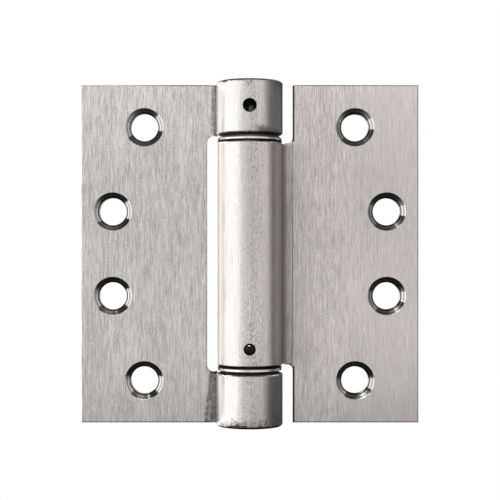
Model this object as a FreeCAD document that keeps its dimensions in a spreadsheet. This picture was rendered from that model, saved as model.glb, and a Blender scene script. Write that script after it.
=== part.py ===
"""A spring loaded door hinge with three knuckles, opened flat.

Millimetres. The pin axis is Z, up. The leaves lie left and right of it along X, and their exposed
faces look towards -Y. The origin is on the pin axis at the middle of the hinge's height.
"""

import FreeCAD, Part
import math
import os
import re

import Sketcher
from FreeCAD import Placement, Rotation, Vector

DRIVING_SIZES = {
    # Leaves: two sheets of the same gauge
    "leaf_height": 101.6,
    "leaf_width": 50.8,
    "leaf_thickness": 3.3,
    "face_offset": 0.8,
    "edge_break": 0.3,
    # Rolled barrel
    "barrel_radius": 9.9,
    "barrel_overhang": 0.7,
    "spring_barrel_length": 66.7,
    "bearing_gap": 2.3,
    "end_chamfer": 0.5,
    "joint_chamfer": 0.45,
    "rim_lip_reach": 0.35,
    "rim_lip_height": 0.5,
    "rim_lip_sweep": 290,
    # Swage, where each sheet steps and bends back into its roll, and the tail that closes the roll
    "frame_swage_line": 11.8,
    "door_swage_line": 12.7,
    "swage_step": 0.2,
    "back_bend_radius": 6.0,
    "frame_tail_angle": 8,
    "door_tail_angle": 20,
    "seam_gap": 0.15,
    # Cut-outs that let the knuckles of one leaf pass the other
    "frame_cutout_edge": 12.9,
    "frame_cutout_corner": 1.8,
    "door_notch_edge": 12.95,
    "door_notch_corner": 1.6,
    "cut_margin": 3.0,
    "trim_gap": 0.15,
    # Countersunk screw holes
    "screw_hole_diameter": 8.2,
    "countersink_diameter": 11.6,
    "countersink_angle": 100,
    "end_hole_setback": 19.05,
    "middle_hole_setback": 9.525,
    "end_hole_pitch": 76.2,
    "middle_hole_pitch": 25.4,
    # Fits
    "running_clearance": 0.05,
    "seated_clearance": 0.02,
    "axial_clearance": 0.05,
    "loose_clearance": 0.25,
    "turned_chamfer": 0.4,
    # Flanged bushes and thrust washers in the gaps between the knuckles
    "flange_step": 0.3,
    "flange_chamfer": 0.5,
    "upper_flange_thickness": 1.55,
    "upper_bush_length": 8.0,
    "upper_bush_wall": 1.3,
    "lower_flange_thickness": 1.4,
    "lower_bush_length": 9.0,
    "lower_bush_wall": 0.8,
    "washer_step": 1.1,
    # Tension adjuster in the top knuckle
    "key_across_flats": 6.35,
    "key_socket_depth": 5.0,
    "locking_hole_diameter": 4.1,
    "locking_hole_from_end": 7.9,
    "locking_hole_depth": 3.0,
    "locking_hole_count": 4,
    "adjuster_reach": 7.5,
    # Spring, its mandrel and its anchor
    "wire_diameter": 2.4,
    "coil_clearance": 0.05,
    "coil_turns": 10,
    "coil_runs_a_turn": 8,
    "wire_sides": 6,
    "coil_end_clearance": 0.3,
    "tang_length": 6.0,
    "tang_clearance": 0.1,
    "mandrel_clearance": 0.7,
    "mandrel_socket_depth": 5.0,
    "anchor_length": 16.5,
    "anchor_pin_diameter": 3.5,
    "anchor_pin_from_end": 5.3,
    "anchor_pin_recess": 0.1,
    "anchor_pin_dome": 0.9,
    "anchor_pin_depth": 2.0,
    "pin_to_bush": 0.56,
}

DERIVED_SIZES = {
    # Radii
    "bore_radius": "barrel_radius - leaf_thickness",
    "swage_level": "face_offset + swage_step",
    "bend_drop": "bore_radius - swage_level",
    "frame_swage_radius": "(frame_swage_line^2 / bend_drop - bore_radius - swage_level) / 2",
    "door_swage_radius": "(door_swage_line^2 / bend_drop - bore_radius - swage_level) / 2",
    "adjuster_radius": "bore_radius - running_clearance",
    "upper_bush_radius": "bore_radius - seated_clearance",
    "upper_bush_bore": "upper_bush_radius - upper_bush_wall",
    "spigot_radius": "upper_bush_bore - running_clearance",
    "flange_radius": "barrel_radius - flange_step",
    "washer_radius": "barrel_radius - washer_step",
    "plug_radius": "bore_radius - seated_clearance",
    "lower_bush_radius": "plug_radius - anchor_pin_depth - pin_to_bush - seated_clearance",
    "lower_bush_bore": "lower_bush_radius - lower_bush_wall",
    "pivot_radius": "lower_bush_bore - running_clearance",
    "wire_reach": "wire_diameter / 2 / cos(180 / wire_sides)",
    "coil_radius": "bore_radius - coil_clearance - wire_reach / cos(180 / coil_runs_a_turn)",
    "mandrel_radius": "coil_radius - wire_diameter / 2 - mandrel_clearance",
    "mandrel_bore": "mandrel_radius + running_clearance",
    "anchor_pin_radius": "anchor_pin_diameter / 2 - seated_clearance",
    "tang_slot_width": "2 * (wire_reach + tang_clearance)",
    "tang_slot_start": "coil_radius - wire_reach - tang_clearance",
    # Heights along the pin axis
    "barrel_height": "leaf_height + 2 * barrel_overhang",
    "barrel_end": "barrel_height / 2",
    "barrel_shoulder": "spring_barrel_length / 2",
    "knuckle_face": "barrel_shoulder + bearing_gap",
    "plug_end": "barrel_end - rim_lip_height - axial_clearance",
    "locking_hole_level": "barrel_end - locking_hole_from_end",
    "spigot_end": "barrel_shoulder - upper_bush_length - adjuster_reach",
    "anchor_top": "anchor_length - barrel_shoulder",
    "anchor_pin_level": "anchor_pin_from_end - barrel_shoulder",
    "lower_bush_top": "lower_bush_length - barrel_shoulder",
    "mandrel_foot": "anchor_top - mandrel_socket_depth",
    "mandrel_head": "spigot_end + mandrel_socket_depth - coil_end_clearance",
    "coil_foot": "anchor_top + coil_end_clearance + wire_diameter / 2",
    "coil_height": "spigot_end - coil_end_clearance - wire_diameter / 2 - coil_foot",
    "tang_slot_depth": "tang_length + coil_end_clearance",
    # Lengths of the straight tails, so that each closes its roll up to the seam
    "frame_tail_length": "frame_swage_line * sin(frame_tail_angle) - frame_swage_radius - seam_gap"
    " + (swage_level + frame_swage_radius) * cos(frame_tail_angle)",
    "door_tail_length": "door_swage_line * sin(door_tail_angle) - door_swage_radius - seam_gap"
    " + (swage_level + door_swage_radius) * cos(door_tail_angle)",
}

# A domed end in flats: share of the radius, share of the dome's height below its crown
DOME_FLATS = [(1, 1), (0.55, 0), (0, 0)]

doc = FreeCAD.newDocument("SpringHinge")
sheet = doc.addObject("Spreadsheet::Sheet", "Sizes")


def fill_sheet():
    """One row for each size: its name, then its value or the formula it follows from."""
    rows = [(name, str(value)) for name, value in DRIVING_SIZES.items()]
    rows += [(name, "=" + formula) for name, formula in DERIVED_SIZES.items()]
    for row, (name, content) in enumerate(rows, start=1):
        sheet.set(f"A{row}", name)
        sheet.set(f"B{row}", content)
        sheet.setAlias(f"B{row}", name)
    doc.recompute()


def size(name):
    return float(sheet.get(name))


def bound(expression):
    """A formula over the sizes as the document writes it, with each name looked up in the sheet."""

    def looked_up(word):
        name = word.group()
        known = name in DRIVING_SIZES or name in DERIVED_SIZES
        return f"Sizes.{name}" if known else name

    return re.sub(r"[a-z_]+", looked_up, expression)


def value_of(expression):
    """The same formula worked out now, to place sketch points before they are constrained."""
    return float(sheet.evalExpression(bound(expression)))


def bind(target, path, expression):
    target.setExpression(path, bound(expression))


def new_body(label):
    body = doc.addObject("PartDesign::Body", label)
    body.Label = label
    return body


def new_sketch(body, name, role, offset=None):
    """A sketch on one of the body's own origin planes, moved along that plane's normal by an offset."""
    sketch = body.newObject("Sketcher::SketchObject", f"{body.Label}_{name}")
    plane = next(f for f in body.Origin.OriginFeatures if f.Role == role)
    sketch.AttachmentSupport = [(plane, "")]
    sketch.MapMode = "FlatFace"
    if offset:
        bind(sketch, "AttachmentOffset.Base.z", offset)
    doc.recompute()
    return sketch


def hold(sketch, kind, *where, expression):
    """A dimension of a sketch that follows a formula over the sizes."""
    index = sketch.addConstraint(Sketcher.Constraint(kind, *where, value_of(expression)))
    bind(sketch, f"Constraints[{index}]", expression)


def hold_point(sketch, geometry, end, place):
    hold(sketch, "DistanceX", -1, 1, geometry, end, expression=place[0])
    hold(sketch, "DistanceY", -1, 1, geometry, end, expression=place[1])


def outline(sketch, corners):
    """A closed outline of straight lines through corners that are each a pair of formulas."""
    places = [Vector(value_of(c[0]), value_of(c[1]), 0) for c in corners]
    first = len(sketch.Geometry)
    for start, end in zip(places, places[1:] + places[:1]):
        sketch.addGeometry(Part.LineSegment(start, end))
    for step in range(len(corners)):
        following = (step + 1) % len(corners)
        sketch.addConstraint(Sketcher.Constraint("Coincident", first + step, 2, first + following, 1))
    for step, corner in enumerate(corners):
        hold_point(sketch, first + step, 1, corner)


def circle(sketch, centre, diameter):
    middle = Vector(value_of(centre[0]), value_of(centre[1]), 0)
    index = sketch.addGeometry(Part.Circle(middle, Vector(0, 0, 1), value_of(diameter) / 2))
    hold(sketch, "Diameter", index, expression=diameter)
    hold_point(sketch, index, 3, centre)


def add_feature(body, kind, name, sketch, **settings):
    feature = body.newObject(f"PartDesign::{kind}", f"{body.Label}_{name}")
    feature.Profile = sketch
    for key, setting in settings.items():
        setattr(feature, key, setting)
    return feature


def through_pocket(body, name, sketch):
    """Cuts a sketch through the whole body, both ways from its plane."""
    add_feature(body, "Pocket", name, sketch, Type="ThroughAll", SideType="Symmetric")
    doc.recompute()


def one_way_pocket(body, name, sketch, depth, reverse):
    pocket = add_feature(body, "Pocket", name, sketch, Type="Length", Reversed=reverse)
    bind(pocket, "Length", depth)
    doc.recompute()


def turned(body, name, corners, kind="Revolution"):
    """A piece turned about Z, or a turned cut, from half of its section given as radius and height."""
    sketch = new_sketch(body, name, "XZ_Plane")
    outline(sketch, corners)
    feature = add_feature(body, kind, f"{name}_turn", sketch, ReferenceAxis=(sketch, ["V_Axis"]))
    feature.Angle = 360
    doc.recompute()


def rolled_section(body, side):
    """The sheet seen from above: flat leaf, swage step, bend back, roll about the pin axis, straight tail."""
    sketch = new_sketch(body, "section", "XY_Plane")
    barrel, bore = size("barrel_radius"), size("bore_radius")
    face, back = size("face_offset"), size("face_offset") + size("leaf_thickness")
    width, line = size("leaf_width"), size(f"{side}_swage_line")
    level, front_bend = size("swage_level"), size(f"{side}_swage_radius")
    back_bend = size("back_bend_radius")
    tilt, tail = math.radians(size(f"{side}_tail_angle")), size(f"{side}_tail_length")

    front_centre = Vector(line, level + front_bend, 0)
    back_reach = math.sqrt((barrel - back) * (barrel + back + 2 * back_bend))
    back_centre = Vector(back_reach, back + back_bend, 0)
    front_turn = math.atan2(front_centre.y, front_centre.x)
    back_turn = math.atan2(back_centre.y, back_centre.x)
    tail_start = Vector(math.cos(tilt), -math.sin(tilt), 0)
    tail_run = Vector(math.sin(tilt), math.cos(tilt), 0) * tail
    full_turn, quarter_to = 2 * math.pi - tilt, 1.5 * math.pi

    def arc(centre, radius, start, end):
        return Part.ArcOfCircle(Part.Circle(centre, Vector(0, 0, 1), radius), start, end)

    def line_to(start, end):
        return Part.LineSegment(start, end)

    origin = Vector(0, 0, 0)
    edge = sketch.addGeometry(line_to(Vector(width, back, 0), Vector(width, face, 0)))
    front = sketch.addGeometry(line_to(Vector(width, face, 0), Vector(line, face, 0)))
    step = sketch.addGeometry(line_to(Vector(line, face, 0), Vector(line, level, 0)))
    strip = sketch.addGeometry(arc(front_centre, front_bend, front_turn + math.pi, quarter_to))
    inside = sketch.addGeometry(arc(origin, bore, front_turn, full_turn))
    tail_inside = sketch.addGeometry(line_to(tail_start * bore, tail_start * bore + tail_run))
    tail_end = sketch.addGeometry(line_to(tail_start * bore + tail_run, tail_start * barrel + tail_run))
    tail_outside = sketch.addGeometry(line_to(tail_start * barrel + tail_run, tail_start * barrel))
    outside = sketch.addGeometry(arc(origin, barrel, back_turn, full_turn))
    neck = sketch.addGeometry(arc(back_centre, back_bend, back_turn + math.pi, quarter_to))
    rear = sketch.addGeometry(line_to(Vector(back_reach, back, 0), Vector(width, back, 0)))

    joins = [
        ("Coincident", edge, 2, front, 1),
        ("Coincident", front, 2, step, 1),
        ("Coincident", step, 2, strip, 2),
        ("Tangent", strip, 1, inside, 1),
        ("Tangent", inside, 2, tail_inside, 1),
        ("Coincident", tail_inside, 2, tail_end, 1),
        ("Coincident", tail_end, 2, tail_outside, 1),
        ("Tangent", tail_outside, 2, outside, 2),
        ("Tangent", outside, 1, neck, 1),
        ("Tangent", neck, 2, rear, 1),
        ("Coincident", rear, 2, edge, 1),
        ("Coincident", inside, 3, -1, 1),
        ("Coincident", outside, 3, -1, 1),
        ("Vertical", edge),
        ("Horizontal", front),
        ("Vertical", step),
        ("Horizontal", rear),
        ("Vertical", step, 2, strip, 3),
        ("Perpendicular", tail_inside, tail_end),
        ("Perpendicular", tail_end, tail_outside),
    ]
    for join in joins:
        sketch.addConstraint(Sketcher.Constraint(*join))
    hold(sketch, "Radius", inside, expression="bore_radius")
    hold(sketch, "Radius", outside, expression="barrel_radius")
    hold(sketch, "Radius", neck, expression="back_bend_radius")
    hold(sketch, "DistanceX", -1, 1, edge, 1, expression="leaf_width")
    hold(sketch, "DistanceY", -1, 1, front, 1, expression="face_offset")
    hold(sketch, "DistanceY", edge, 2, edge, 1, expression="leaf_thickness")
    hold(sketch, "DistanceX", -1, 1, step, 1, expression=f"{side}_swage_line")
    hold(sketch, "DistanceY", step, 1, step, 2, expression="swage_step")
    hold(sketch, "Distance", tail_inside, expression=f"{side}_tail_length")
    lean = sketch.addConstraint(Sketcher.Constraint("Angle", tail_inside, math.pi / 2 - tilt))
    sketch.setExpression(f"Constraints[{lean}]", f"90 deg - Sizes.{side}_tail_angle * 1 deg")
    doc.recompute()
    return sketch


def rounded_cutout(sketch, left, right, low, high, corner):
    """A rectangle whose two right-hand corners are rounded."""
    inset = f"( {right} ) - {corner}"
    above, below = f"( {low} ) + {corner}", f"( {high} ) - {corner}"
    runs = [
        ((left, low), (inset, low)),
        ((right, above), (right, below)),
        ((inset, high), (left, high)),
        ((left, high), (left, low)),
    ]
    centres = [(inset, above), (inset, below)]
    first = len(sketch.Geometry)
    for start, end in runs:
        ends = [Vector(value_of(p[0]), value_of(p[1]), 0) for p in (start, end)]
        sketch.addGeometry(Part.LineSegment(*ends))
    for turn, centre in enumerate(centres):
        middle = Vector(value_of(centre[0]), value_of(centre[1]), 0)
        ring = Part.Circle(middle, Vector(0, 0, 1), value_of(corner))
        start = (turn - 1) * math.pi / 2
        sketch.addGeometry(Part.ArcOfCircle(ring, start, start + math.pi / 2))
    for run, (start, end) in enumerate(runs[:3]):
        hold_point(sketch, first + run, 1, start)
        hold_point(sketch, first + run, 2, end)
    closing, low_turn, high_turn = first + 3, first + 4, first + 5
    joins = [(first + 2, 2, closing, 1), (closing, 2, first, 1)]
    joins += [(first, 2, low_turn, 1), (low_turn, 2, first + 1, 1)]
    joins += [(first + 1, 2, high_turn, 1), (high_turn, 2, first + 2, 1)]
    for join in joins:
        sketch.addConstraint(Sketcher.Constraint("Coincident", *join))
    for turn, centre in zip((low_turn, high_turn), centres):
        hold(sketch, "DistanceX", -1, 1, turn, 3, expression=centre[0])


def screw_holes(body):
    """Four countersunk holes, staggered: the end pair nearer the barrel, the middle pair nearer the edge."""
    sketch = new_sketch(body, "screw_holes", "XZ_Plane", "0 - face_offset")
    rows = [
        ("leaf_width - end_hole_setback", "end_hole_pitch"),
        ("leaf_width - middle_hole_setback", "middle_hole_pitch"),
    ]
    for across, pitch in rows:
        for sign in ("", "0 - "):
            circle(sketch, (across, f"{sign}{pitch} / 2"), "screw_hole_diameter")
    doc.recompute()
    hole = add_feature(body, "Hole", "screws", sketch, DepthType="ThroughAll", HoleCutType="Countersink")
    hole.HoleCutCustomValues = True
    bind(hole, "Diameter", "screw_hole_diameter")
    bind(hole, "HoleCutDiameter", "countersink_diameter")
    bind(hole, "HoleCutCountersinkAngle", "countersink_angle")
    doc.recompute()


def break_edges(body):
    """Takes the sharp corner off the outer edges of the leaf, front and back."""
    half, width = size("leaf_height") / 2, size("leaf_width")
    names = []
    for index, edge in enumerate(body.Tip.Shape.Edges, start=1):
        ends = [v.Point for v in edge.Vertexes]
        flat = max(p.y for p in ends) - min(p.y for p in ends) < 1e-6
        at_end = all(abs(abs(p.z) - half) < 1e-6 for p in ends)
        at_side = all(abs(p.x - width) < 1e-6 for p in ends)
        straight = isinstance(edge.Curve, Part.Line) and edge.Length > size("leaf_thickness") * 2
        if flat and straight and (at_end or at_side):
            names.append(f"Edge{index}")
    unbroken = body.Tip
    chamfer = body.newObject("PartDesign::Chamfer", f"{body.Label}_edges")
    chamfer.Base = (unbroken, names)
    bind(chamfer, "Size", "edge_break")
    doc.recompute()


def make_frame_leaf():
    """The leaf with the two end knuckles, modelled to the right of the axis and turned half way round Y."""
    body = new_body("frame_leaf")
    section = rolled_section(body, "frame")
    pad = add_feature(body, "Pad", "sheet", section, SideType="Symmetric")
    bind(pad, "Length", "barrel_height")
    doc.recompute()

    window = new_sketch(body, "window", "XZ_Plane")
    left = "0 - barrel_radius - cut_margin"
    low, high = "0 - knuckle_face", "knuckle_face"
    rounded_cutout(window, left, "frame_cutout_edge", low, high, "frame_cutout_corner")
    through_pocket(body, "window_cut", window)

    trim = new_sketch(body, "trim", "XZ_Plane")
    inner, outer = "barrel_radius + trim_gap", "leaf_width + cut_margin"
    for low, high in (
        ("leaf_height / 2", "barrel_end + cut_margin"),
        ("0 - barrel_end - cut_margin", "0 - leaf_height / 2"),
    ):
        outline(trim, [(inner, low), (outer, low), (outer, high), (inner, high)])
    through_pocket(body, "trim_cut", trim)

    locking = new_sketch(body, "locking_hole", "XZ_Plane")
    circle(locking, ("0", "0 - locking_hole_level"), "locking_hole_diameter")
    one_way_pocket(body, "locking_cut", locking, "barrel_radius + cut_margin", reverse=True)

    for sign in (1, -1):
        chamfer_rim(body, "barrel_end", sign, inward=-1, chamfer="end_chamfer")
        chamfer_rim(body, "knuckle_face", sign, inward=1, chamfer="joint_chamfer")
    rim_lip(body)
    screw_holes(body)
    break_edges(body)
    body.Placement = Placement(Vector(0, 0, 0), Rotation(Vector(0, 1, 0), 180))


def signed(sign, expression):
    return expression if sign > 0 else f"0 - ( {expression} )"


def chamfer_rim(body, level, sign, inward, chamfer):
    """A turned cut that chamfers a rim of the barrel; the metal lies above the face if inward is 1."""
    side = "top" if sign > 0 else "foot"
    outer = f"barrel_radius + {chamfer} * 2"
    deep = f"{level} + {chamfer}" if inward > 0 else f"{level} - {chamfer}"
    clear = f"{level} - {chamfer}" if inward > 0 else f"{level} + {chamfer}"
    corners = [
        (f"barrel_radius - {chamfer}", level),
        ("barrel_radius", deep),
        (outer, deep),
        (outer, clear),
        (f"barrel_radius - {chamfer}", clear),
    ]
    corners = [(across, signed(sign, up)) for across, up in corners]
    turned(body, f"{chamfer}_{side}", corners, kind="Groove")


def rim_lip(body):
    """The top rim is rolled in a little over the adjuster, all round but for the seam."""
    sketch = new_sketch(body, "lip", "XZ_Plane")
    inner, outer = "0 - bore_radius + rim_lip_reach", "0 - bore_radius - rim_lip_reach"
    low, high = "0 - barrel_end", "rim_lip_height - barrel_end"
    outline(sketch, [(outer, low), (inner, low), (inner, high), (outer, high)])
    lip = add_feature(body, "Revolution", "lip_turn", sketch, ReferenceAxis=(sketch, ["V_Axis"]))
    lip.Midplane = True
    bind(lip, "Angle", "rim_lip_sweep")
    doc.recompute()


def make_door_leaf():
    """The leaf with the long spring barrel."""
    body = new_body("door_leaf")
    section = rolled_section(body, "door")
    pad = add_feature(body, "Pad", "sheet", section, SideType="Symmetric")
    bind(pad, "Length", "leaf_height")
    doc.recompute()

    notches = new_sketch(body, "notches", "XZ_Plane")
    left, end = "0 - barrel_radius - cut_margin", "leaf_height / 2 + cut_margin"
    for low, high in (("barrel_shoulder", end), (f"0 - ( {end} )", "0 - barrel_shoulder")):
        rounded_cutout(notches, left, "door_notch_edge", low, high, "door_notch_corner")
    through_pocket(body, "notches_cut", notches)

    pin = new_sketch(body, "pin_hole", "XZ_Plane")
    circle(pin, ("0", "anchor_pin_level"), "anchor_pin_diameter")
    one_way_pocket(body, "pin_cut", pin, "barrel_radius + cut_margin", reverse=True)

    for sign in (1, -1):
        chamfer_rim(body, "barrel_shoulder", sign, inward=-1, chamfer="joint_chamfer")
    screw_holes(body)
    break_edges(body)


def make_upper_bush():
    """Flanged bush in the top of the spring barrel, which the adjuster's spigot turns in."""
    top = "barrel_shoulder + upper_flange_thickness"
    corners = [
        ("upper_bush_bore", "barrel_shoulder - upper_bush_length"),
        ("upper_bush_radius", "barrel_shoulder - upper_bush_length"),
        ("upper_bush_radius", "barrel_shoulder"),
        ("flange_radius", "barrel_shoulder"),
        ("flange_radius", f"{top} - flange_chamfer"),
        ("flange_radius - flange_chamfer", top),
        ("upper_bush_bore", top),
    ]
    turned(new_body("upper_bush"), "section", corners)


def make_lower_bush():
    """Flanged bush in the anchor at the foot of the spring barrel, which turns on the pivot."""
    foot = "0 - barrel_shoulder - lower_flange_thickness"
    seat = "0 - barrel_shoulder"
    corners = [
        ("lower_bush_bore", foot),
        ("flange_radius", foot),
        ("flange_radius", f"{seat} - flange_chamfer"),
        ("flange_radius - flange_chamfer", seat),
        ("lower_bush_radius", seat),
        ("lower_bush_radius", "lower_bush_top"),
        ("lower_bush_bore", "lower_bush_top"),
    ]
    turned(new_body("lower_bush"), "section", corners)


def make_thrust_washers():
    """A plain ring between each flange and the end knuckle, clear of the shaft inside it."""
    upper_low = "barrel_shoulder + upper_flange_thickness + axial_clearance"
    upper_high = "knuckle_face - axial_clearance"
    lower_low = "axial_clearance - knuckle_face"
    lower_high = "0 - barrel_shoulder - lower_flange_thickness - axial_clearance"
    for label, shaft, low, high in (
        ("upper_thrust_washer", "spigot_radius", upper_low, upper_high),
        ("lower_thrust_washer", "pivot_radius", lower_low, lower_high),
    ):
        inner = f"{shaft} + loose_clearance"
        corners = [(inner, low), ("washer_radius", low), ("washer_radius", high), (inner, high)]
        turned(new_body(label), "section", corners)


def tang_slot(body, level, reverse):
    """A slot in the end of a plug that the spring's tang lies in."""
    sketch = new_sketch(body, "tang_slot", "XY_Plane", level)
    low, high = "0 - tang_slot_width / 2", "tang_slot_width / 2"
    outer = "barrel_radius"
    outline(sketch, [("tang_slot_start", low), (outer, low), (outer, high), ("tang_slot_start", high)])
    one_way_pocket(body, "tang_slot_cut", sketch, "tang_slot_depth", reverse)


def make_tension_adjuster():
    """The plug that winds the spring: hex socket, ring of locking holes, spigot and tang slot."""
    body = new_body("tension_adjuster")
    corners = [
        ("0", "plug_end"),
        ("adjuster_radius", "plug_end"),
        ("adjuster_radius", "knuckle_face"),
        ("spigot_radius", "knuckle_face"),
        ("spigot_radius", "spigot_end"),
        ("mandrel_bore", "spigot_end"),
        ("mandrel_bore", "spigot_end + mandrel_socket_depth"),
        ("0", "spigot_end + mandrel_socket_depth"),
    ]
    turned(body, "section", corners)

    socket = new_sketch(body, "key_socket", "XY_Plane", "plug_end")
    flat, point = "key_across_flats / 2", "key_across_flats * tan(30)"
    outline(
        socket,
        [
            (flat, f"0 - {point} / 2"),
            (flat, f"{point} / 2"),
            ("0", point),
            (f"0 - {flat}", f"{point} / 2"),
            (f"0 - {flat}", f"0 - {point} / 2"),
            ("0", f"0 - {point}"),
        ],
    )
    one_way_pocket(body, "key_socket_cut", socket, "key_socket_depth", reverse=False)
    tang_slot(body, "spigot_end", reverse=True)

    drill = new_sketch(body, "locking_hole", "XZ_Plane", "adjuster_radius")
    circle(drill, ("0", "locking_hole_level"), "locking_hole_diameter")
    doc.recompute()
    hole = add_feature(body, "Hole", "locking_drill", drill, DepthType="Dimension", DrillPoint="Flat")
    bind(hole, "Diameter", "locking_hole_diameter")
    bind(hole, "Depth", "locking_hole_depth")
    doc.recompute()
    ring = body.newObject("PartDesign::PolarPattern", "tension_adjuster_locking_ring")
    ring.Originals = [hole]
    ring.Axis = (next(f for f in body.Origin.OriginFeatures if f.Role == "Z_Axis"), [""])
    ring.Angle = 360
    bind(ring, "Occurrences", "locking_hole_count")
    body.Tip = ring
    doc.recompute()


def make_pivot_stud():
    """The plug held in the bottom knuckle, with the pivot that the lower bush turns on."""
    tip = "lower_bush_top - axial_clearance"
    corners = [
        ("0", "0 - plug_end"),
        ("plug_radius - turned_chamfer", "0 - plug_end"),
        ("plug_radius", "turned_chamfer - plug_end"),
        ("plug_radius", "0 - knuckle_face"),
        ("pivot_radius", "0 - knuckle_face"),
        ("pivot_radius", tip),
        ("0", tip),
    ]
    turned(new_body("pivot_stud"), "section", corners)


def make_spring_anchor():
    """The plug pinned in the foot of the spring barrel: bush bore below, mandrel bore and tang slot above."""
    body = new_body("spring_anchor")
    corners = [
        ("lower_bush_radius + seated_clearance", "0 - barrel_shoulder"),
        ("plug_radius", "0 - barrel_shoulder"),
        ("plug_radius", "anchor_top"),
        ("mandrel_bore", "anchor_top"),
        ("mandrel_bore", "mandrel_foot"),
        ("0", "mandrel_foot"),
        ("0", "lower_bush_top + axial_clearance"),
        ("lower_bush_radius + seated_clearance", "lower_bush_top + axial_clearance"),
    ]
    turned(body, "section", corners)
    tang_slot(body, "anchor_top", reverse=False)
    pin = new_sketch(body, "pin_hole", "XZ_Plane", "plug_radius - anchor_pin_depth")
    circle(pin, ("0", "anchor_pin_level"), "anchor_pin_diameter")
    one_way_pocket(body, "pin_cut", pin, "anchor_pin_depth + cut_margin", reverse=True)


def make_anchor_pin():
    """A short domed pin, driven through the barrel into the anchor; turned upright, then laid over."""
    body = new_body("anchor_pin")
    foot = "plug_radius - anchor_pin_depth + seated_clearance"
    crown = "barrel_radius - anchor_pin_recess"
    corners = [("0", foot), ("anchor_pin_radius", foot)]
    for across, drop in DOME_FLATS:
        corners.append((f"anchor_pin_radius * {across}", f"{crown} - anchor_pin_dome * {drop}"))
    turned(body, "section", corners)
    bind(body, "Placement.Base.z", "anchor_pin_level")
    body.Placement.Rotation = Rotation(Vector(1, 0, 0), 90)
    doc.recompute()


def make_spring_mandrel():
    """The rod inside the coil, standing in the anchor and steadied by the adjuster."""
    corners = [
        ("0", "mandrel_foot"),
        ("mandrel_radius", "mandrel_foot"),
        ("mandrel_radius", "mandrel_head"),
        ("0", "mandrel_head"),
    ]
    turned(new_body("spring_mandrel"), "section", corners)


def make_torsion_spring():
    """One wire: a tang up from the anchor, the coil in short straight runs, a tang up into the adjuster."""
    radius, tang = size("coil_radius"), size("tang_length")
    foot, height = size("coil_foot"), size("coil_height")
    runs_a_turn, sides = int(size("coil_runs_a_turn")), int(size("wire_sides"))
    runs = int(size("coil_turns")) * runs_a_turn
    path = [Vector(radius, 0, foot - tang)]
    for run in range(runs + 1):
        turn = 2 * math.pi * run / runs_a_turn
        path.append(Vector(radius * math.cos(turn), radius * math.sin(turn), foot + height * run / runs))
    path.append(Vector(radius, 0, foot + height + tang))
    corners = [2 * math.pi * side / sides for side in range(sides + 1)]
    section = [path[0] + Vector(math.cos(turn), math.sin(turn), 0) * size("wire_reach") for turn in corners]
    mitred = 1
    spring = doc.addObject("Part::Feature", "torsion_spring")
    spring.Shape = Part.makePolygon(path).makePipeShell([Part.makePolygon(section)], True, False, mitred)
    spring.Label = "torsion_spring"
    doc.recompute()


SUB_PARTS = [
    "frame_leaf",
    "door_leaf",
    "tension_adjuster",
    "upper_thrust_washer",
    "upper_bush",
    "torsion_spring",
    "spring_mandrel",
    "spring_anchor",
    "anchor_pin",
    "lower_bush",
    "lower_thrust_washer",
    "pivot_stud",
]


def check_document():
    for item in doc.Objects:
        if {"Invalid", "Error"} & set(item.State):
            raise RuntimeError(f"{item.Label} could not be made: {item.State}")


def write_sub_parts():
    os.makedirs("parts", exist_ok=True)
    for label in SUB_PARTS:
        shape = doc.getObjectsByLabel(label)[0].Shape
        if shape.isNull() or not shape.isValid() or len(shape.Solids) != 1:
            raise RuntimeError(f"{label} is not one sound solid")
        print(f"{label}: {shape.Volume:.1f} mm3, box {shape.BoundBox}")
        shape.exportStep(f"parts/{label}.step")


fill_sheet()
make_frame_leaf()
make_door_leaf()
make_tension_adjuster()
make_thrust_washers()
make_upper_bush()
make_lower_bush()
make_pivot_stud()
make_spring_anchor()
make_anchor_pin()
make_spring_mandrel()
make_torsion_spring()
check_document()
write_sub_parts()
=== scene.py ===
# %% [markdown]
# # A spring loaded door hinge, opened flat
# The hinge is two leaves of brushed stainless sheet, rolled into one barrel with a spring inside. The CAD model
# already has every solid of it, so this lesson is about the rest: the camera, a small studio for shiny metal, the
# two pieces that want a smoother shape, and the finish of each piece.

# %% Load the hinge
import math

import bmesh
import bpy
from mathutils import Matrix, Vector


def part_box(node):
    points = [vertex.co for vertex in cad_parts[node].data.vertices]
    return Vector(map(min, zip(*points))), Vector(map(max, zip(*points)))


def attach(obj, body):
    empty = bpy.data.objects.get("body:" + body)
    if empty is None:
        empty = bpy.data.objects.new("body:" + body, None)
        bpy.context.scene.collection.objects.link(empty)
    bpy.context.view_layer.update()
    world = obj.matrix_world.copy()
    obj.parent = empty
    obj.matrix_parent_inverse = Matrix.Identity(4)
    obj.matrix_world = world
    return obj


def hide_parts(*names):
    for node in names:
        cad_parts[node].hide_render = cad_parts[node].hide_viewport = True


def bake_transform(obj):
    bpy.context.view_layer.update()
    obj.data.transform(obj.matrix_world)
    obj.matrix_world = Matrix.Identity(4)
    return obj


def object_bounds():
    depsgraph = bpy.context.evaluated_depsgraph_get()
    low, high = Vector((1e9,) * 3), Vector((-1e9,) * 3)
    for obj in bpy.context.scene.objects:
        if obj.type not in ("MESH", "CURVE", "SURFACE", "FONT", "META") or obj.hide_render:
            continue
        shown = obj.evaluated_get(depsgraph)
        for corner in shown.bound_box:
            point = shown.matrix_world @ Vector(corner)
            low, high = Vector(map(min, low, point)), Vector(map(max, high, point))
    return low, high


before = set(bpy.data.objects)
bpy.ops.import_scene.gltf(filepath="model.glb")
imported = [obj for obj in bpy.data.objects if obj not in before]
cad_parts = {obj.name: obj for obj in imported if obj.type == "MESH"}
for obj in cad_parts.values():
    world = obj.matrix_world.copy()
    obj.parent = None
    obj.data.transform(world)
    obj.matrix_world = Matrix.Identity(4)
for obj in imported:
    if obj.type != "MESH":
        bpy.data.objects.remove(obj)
cad_low, cad_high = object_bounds()
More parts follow.
